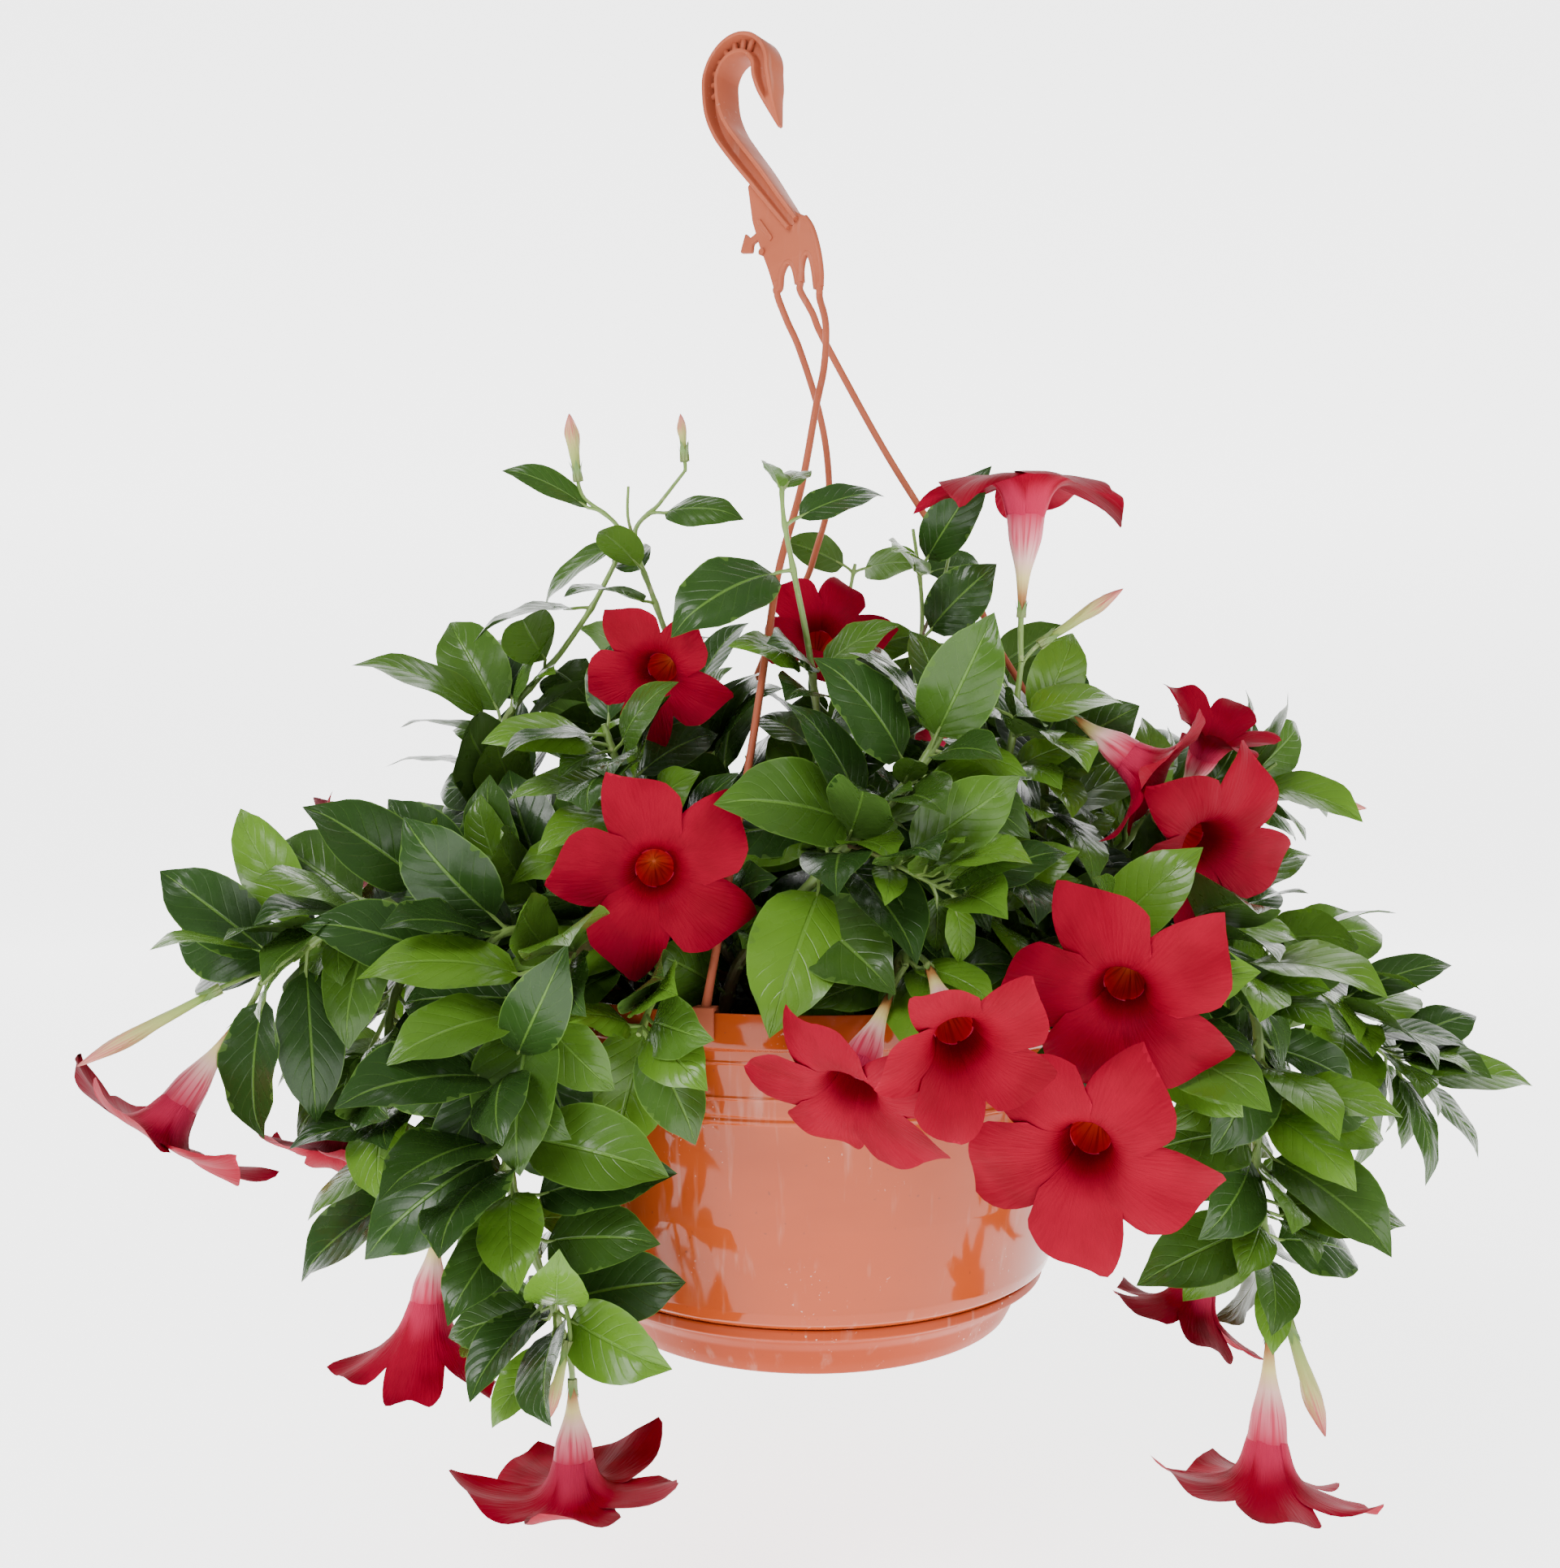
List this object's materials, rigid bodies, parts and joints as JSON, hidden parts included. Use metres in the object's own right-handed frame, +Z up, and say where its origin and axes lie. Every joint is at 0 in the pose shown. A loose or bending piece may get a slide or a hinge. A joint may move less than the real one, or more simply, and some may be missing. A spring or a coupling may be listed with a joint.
{
  "type": "mandevilla in a hanging pot",
  "caption": "Red-flowered mandevilla trailing from a terracotta-coloured hanging pot with clip-on saucer and a three-strand hanger with a channel-section hook.",
  "frame": {"origin": "the seat inside the hook's crown, where a rod or bracket carries the pot", "axes": "+Z up, +X to the picture's right, +Y away from the picture's camera; the pot's axis is vertical at x 31.7 mm, y -8.6 mm"},
  "size_m": [0.6403, 0.4753, 0.674],
  "materials": {
    "terracotta_plastic": "glossy injection-moulded terracotta-coloured plastic with dust and soil specks",
    "hanger_plastic": "satin moulded plastic, terracotta pink",
    "soil": null,
    "leaf": "leathery glossy dark green leaves, brighter when young, with pale midribs",
    "petal": "velvety scarlet-crimson petals on a pink and white tube",
    "bud": "furled pink bud, green at the base"
  },
  "bodies": {
    "root": {"pot": "terracotta_plastic", "saucer": "terracotta_plastic", "soil": "soil", "hook": "hanger_plastic", "strand_front": "hanger_plastic", "strand_right": "hanger_plastic", "strand_back": "hanger_plastic", "stem_far_left": "leaf", "stem_left_outer": "leaf", "stem_left_inner": "leaf", "stem_left_mid": "leaf", "stem_left_front": "leaf", "stem_upper_left": "leaf", "stem_upper_mid": "leaf", "stem_centre_up": "leaf", "stem_centre": "leaf", "stem_top_right": "leaf", "stem_up_right": "leaf", "stem_right_top": "leaf", "stem_right_mid": "leaf", "stem_right_front": "leaf", "stem_front": "leaf", "stem_right_trail": "leaf", "stem_far_right": "leaf", "stem_right_twig": "leaf", "stem_back_right": "leaf", "stem_back_mid_right": "leaf", "stem_back_mid": "leaf", "stem_back_mid_left": "leaf", "stem_back_left": "leaf", "stem_top_back": "leaf", "stem_top_back_left": "leaf", "stem_top_back_right": "leaf", "bloom_top_right": "petal", "bloom_upper_left": "petal", "bloom_upper_mid": "petal", "bloom_centre_left": "petal", "bloom_right_front": "petal", "bloom_right_low": "petal", "bloom_front_left": "petal", "bloom_front_right": "petal", "bloom_right_top": "petal", "bloom_right_mid": "petal", "bloom_right_twist": "petal", "bloom_far_left": "petal", "bloom_left_low": "petal", "bloom_left_mid": "petal", "bloom_left_hanging": "petal", "bloom_bottom_left": "petal", "bloom_bottom_right": "petal", "bloom_right_hanging": "petal", "bloom_back_high": "petal", "bloom_back_low": "petal", "bud_far_left": "bud", "bud_top_left": "bud", "bud_top_mid": "bud", "bud_right_top": "bud", "bud_bottom_left": "bud", "bud_bottom_right": "bud", "bud_far_right": "bud"}
  },
  "joints": []
}
